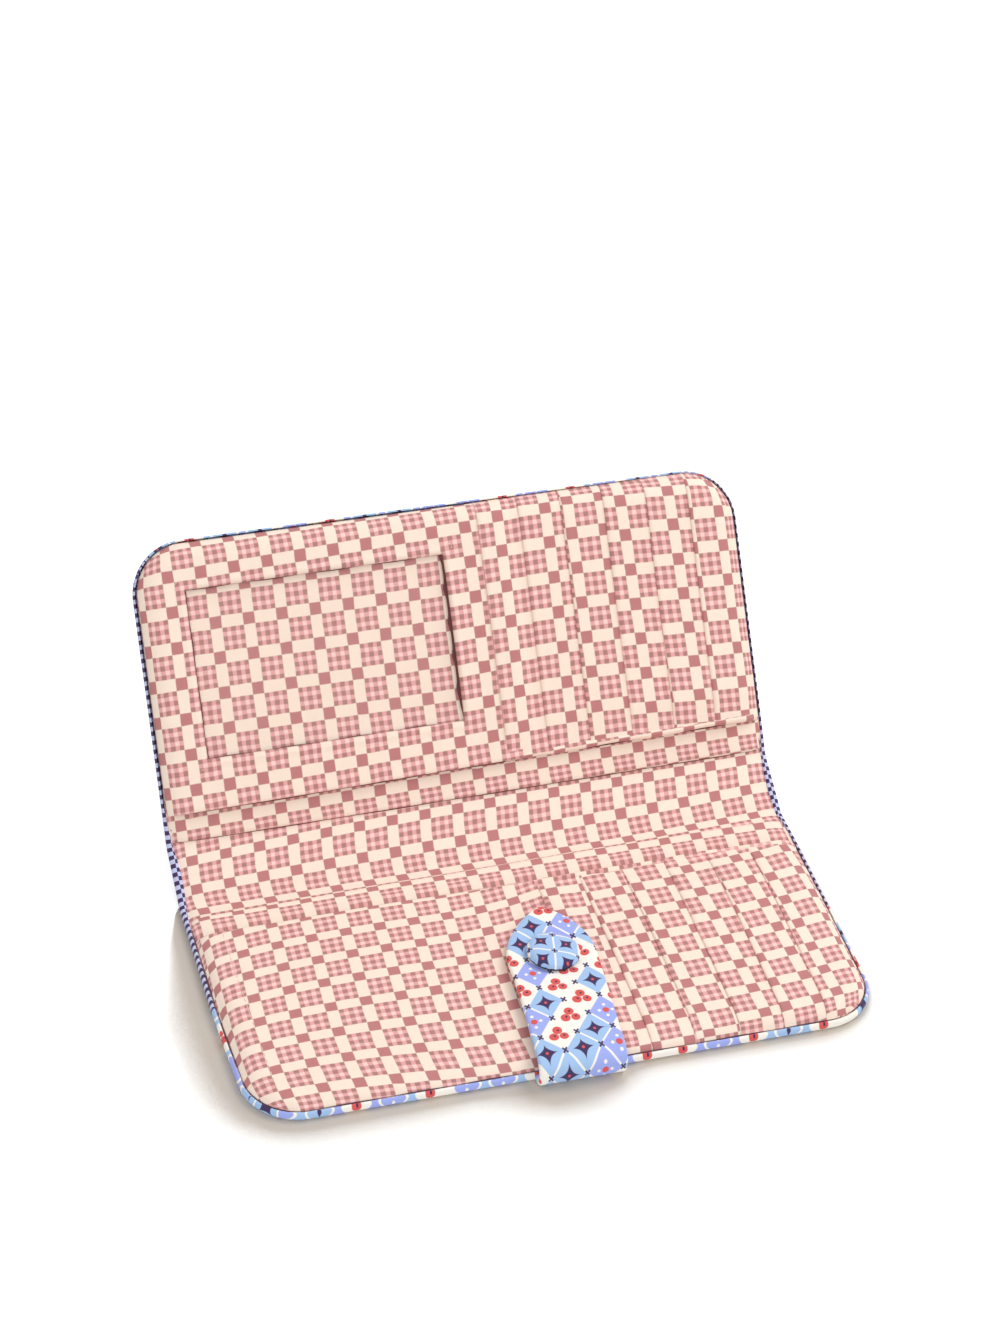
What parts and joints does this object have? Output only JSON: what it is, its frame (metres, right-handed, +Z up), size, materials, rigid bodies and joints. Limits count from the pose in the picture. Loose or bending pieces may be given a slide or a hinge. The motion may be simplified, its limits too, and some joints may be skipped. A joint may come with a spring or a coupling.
{
  "type": "tab wallet",
  "caption": "Long bifold fabric wallet, standing open, with stepped card slots, slip and bill pockets, a framed ID window and a snap tab folded in over its front edge.",
  "frame": {"origin": "middle of the lower cover's flat underside, where the wallet rests on a table", "axes": "+X to the viewer's right along the folds, +Y from the open front edge to the folds, +Z up"},
  "size_m": [0.1906, 0.1678, 0.0852],
  "materials": {
    "print_fabric": "printed plain-weave cotton, matte",
    "check_fabric": "printed check plain-weave cotton, matte",
    "batting": "soft needled batting",
    "board": "stiff woven interfacing",
    "window_film": "clear soft vinyl",
    "snap_metal": "nickel-plated brass"
  },
  "bodies": {
    "lower_cover": {"lower_outer_cover": "print_fabric", "lower_padding": "batting", "lower_stiffener": "board", "lower_lining": "check_fabric", "lower_bill_pocket": "check_fabric", "lower_pocket_panel": "check_fabric", "lower_slip_pocket": "check_fabric", "lower_card_slot_1": "check_fabric", "lower_card_slot_2": "check_fabric", "lower_card_slot_3": "check_fabric", "lower_card_slot_4": "check_fabric", "lower_card_slot_5": "check_fabric", "lower_card_slot_6": "check_fabric", "tab_root": "print_fabric"},
    "spine": {"spine_outer": "print_fabric", "spine_padding": "batting", "spine_lining": "check_fabric"},
    "upper_cover": {"upper_outer_cover": "print_fabric", "upper_padding": "batting", "upper_stiffener": "board", "upper_lining": "check_fabric", "upper_bill_pocket": "check_fabric", "upper_pocket_panel": "check_fabric", "id_window_film": "window_film", "id_window_frame": "check_fabric", "upper_card_slot_1": "check_fabric", "upper_card_slot_2": "check_fabric", "upper_card_slot_3": "check_fabric", "upper_card_slot_4": "check_fabric", "upper_card_slot_5": "check_fabric", "upper_card_slot_6": "check_fabric", "snap_stud": "snap_metal", "snap_stud_washer": "snap_metal"},
    "tab_neck": {"tab_neck": "print_fabric"},
    "tab_flap": {"tab_flap_outer": "print_fabric", "tab_flap_interfacing": "board", "tab_flap_lining": "print_fabric", "snap_cap": "print_fabric", "snap_socket": "snap_metal"}
  },
  "joints": [
    {"name": "lower_fold", "type": "hinge", "parent": "lower_cover", "child": "spine", "pos_m": [0, 0.0455, 0.0013], "axis": [1, 0, 0], "range_deg": [-27.5, 62.5]},
    {"name": "upper_fold", "type": "hinge", "parent": "spine", "child": "upper_cover", "pos_m": [0, 0.06324, 0.01053], "axis": [1, 0, 0], "range_deg": [-24.5, 65.5]},
    {"name": "tab_fold", "type": "hinge", "parent": "lower_cover", "child": "tab_neck", "pos_m": [0.0012, -0.0469, 0.00845], "axis": [1, 0, 0], "range_deg": [0, 90]},
    {"name": "flap_fold", "type": "hinge", "parent": "tab_neck", "child": "tab_flap", "pos_m": [0.00282, -0.0294, 0.00845], "axis": [1, 0, 0], "range_deg": [-90, 0]}
  ],
  "couplings": [
    {"joint": "flap_fold", "follows": "tab_fold", "ratio": -1}
  ]
}
